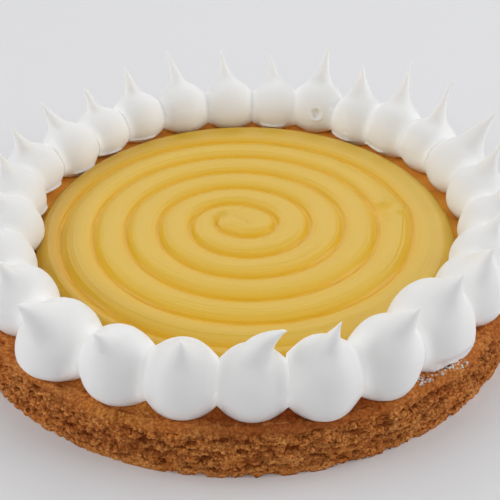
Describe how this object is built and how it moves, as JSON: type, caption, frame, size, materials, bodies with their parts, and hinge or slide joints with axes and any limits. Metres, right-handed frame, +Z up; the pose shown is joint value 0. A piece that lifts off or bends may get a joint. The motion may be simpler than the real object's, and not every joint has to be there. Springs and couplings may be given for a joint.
{
  "type": "lemon meringue tart",
  "caption": "Whole lemon meringue tart: a thick porous biscuit base, a flat spiral of piped lemon cream, and a ring of piped white meringue kisses round the edge.",
  "frame": {"origin": "centre of the biscuit base's flat underside, where the tart rests", "axes": "+Z up out of the tart; -Y is the side that faces the viewer, +X its right"},
  "size_m": [0.2238, 0.2239, 0.0583],
  "materials": {
    "biscuit": "baked biscuit, dry, porous and crumbly",
    "lemon_cream": "smooth set lemon cream, soft gloss",
    "meringue": "smooth uncoloured meringue, satin"
  },
  "bodies": {
    "root": {"crust": "biscuit", "lemon_cream": "lemon_cream", "meringue_kiss_01": "meringue", "meringue_kiss_02": "meringue", "meringue_kiss_03": "meringue", "meringue_kiss_04": "meringue", "meringue_kiss_05": "meringue", "meringue_kiss_06": "meringue", "meringue_kiss_07": "meringue", "meringue_kiss_08": "meringue", "meringue_kiss_09": "meringue", "meringue_kiss_10": "meringue", "meringue_kiss_11": "meringue", "meringue_kiss_12": "meringue", "meringue_kiss_13": "meringue", "meringue_kiss_14": "meringue", "meringue_kiss_15": "meringue", "meringue_kiss_16": "meringue", "meringue_kiss_17": "meringue", "meringue_kiss_18": "meringue", "meringue_kiss_19": "meringue", "meringue_kiss_20": "meringue", "meringue_kiss_21": "meringue", "meringue_kiss_22": "meringue", "meringue_kiss_23": "meringue", "meringue_kiss_24": "meringue", "meringue_kiss_25": "meringue", "meringue_kiss_26": "meringue", "meringue_kiss_27": "meringue"}
  },
  "joints": []
}
